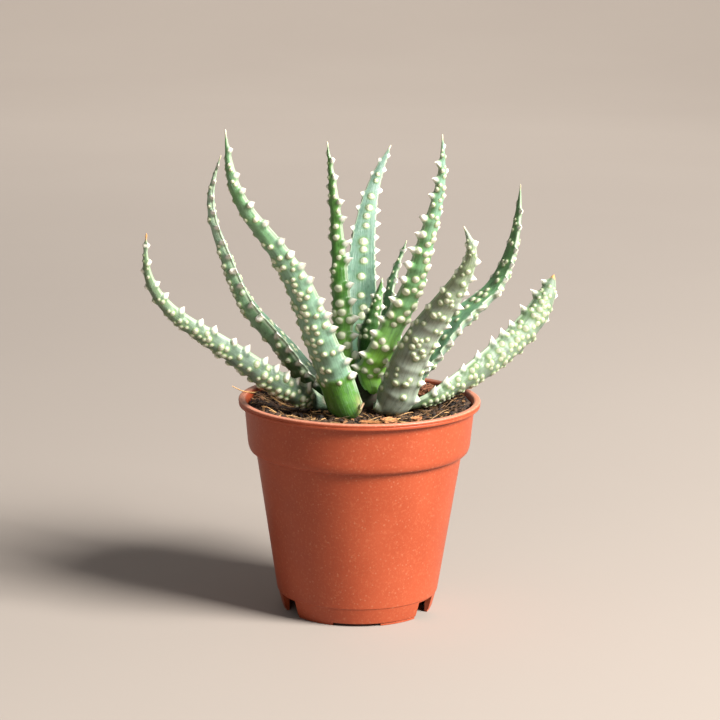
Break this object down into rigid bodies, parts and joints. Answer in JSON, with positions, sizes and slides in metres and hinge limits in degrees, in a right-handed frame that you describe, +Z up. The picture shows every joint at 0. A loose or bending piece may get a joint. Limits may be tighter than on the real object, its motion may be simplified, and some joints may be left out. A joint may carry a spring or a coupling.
{
  "type": "potted aloe",
  "caption": "Young spiny aloe: a loose rosette of fleshy leaves with toothed margins and pale tubercles, rooted in peat in a tapered terracotta-coloured nursery pot.",
  "frame": {"origin": "middle of the pot's underside, on the table; the leaves' outline is centred on the pot's axis to about 1 mm", "axes": "+Z up along the pot's axis, -Y towards the viewer of the picture, +X to the viewer's right"},
  "size_m": [0.1525, 0.1014, 0.184],
  "materials": {
    "pot": "satin",
    "peat": "matte",
    "leaf": "satin",
    "stem": "matte",
    "coir": "matte"
  },
  "bodies": {
    "root": {"pot": "pot", "soil": "peat", "stem": "stem", "leaf_far_left": "leaf", "leaf_left": "leaf", "leaf_front_left": "leaf", "leaf_middle_left": "leaf", "leaf_back": "leaf", "leaf_small": "leaf", "leaf_heart": "leaf", "leaf_middle_right": "leaf", "leaf_front_right": "leaf", "leaf_right": "leaf", "leaf_far_right": "leaf", "coir_chip_front": "coir", "coir_chip_middle": "coir", "coir_chip_right": "coir", "coir_clod": "coir"}
  },
  "joints": []
}
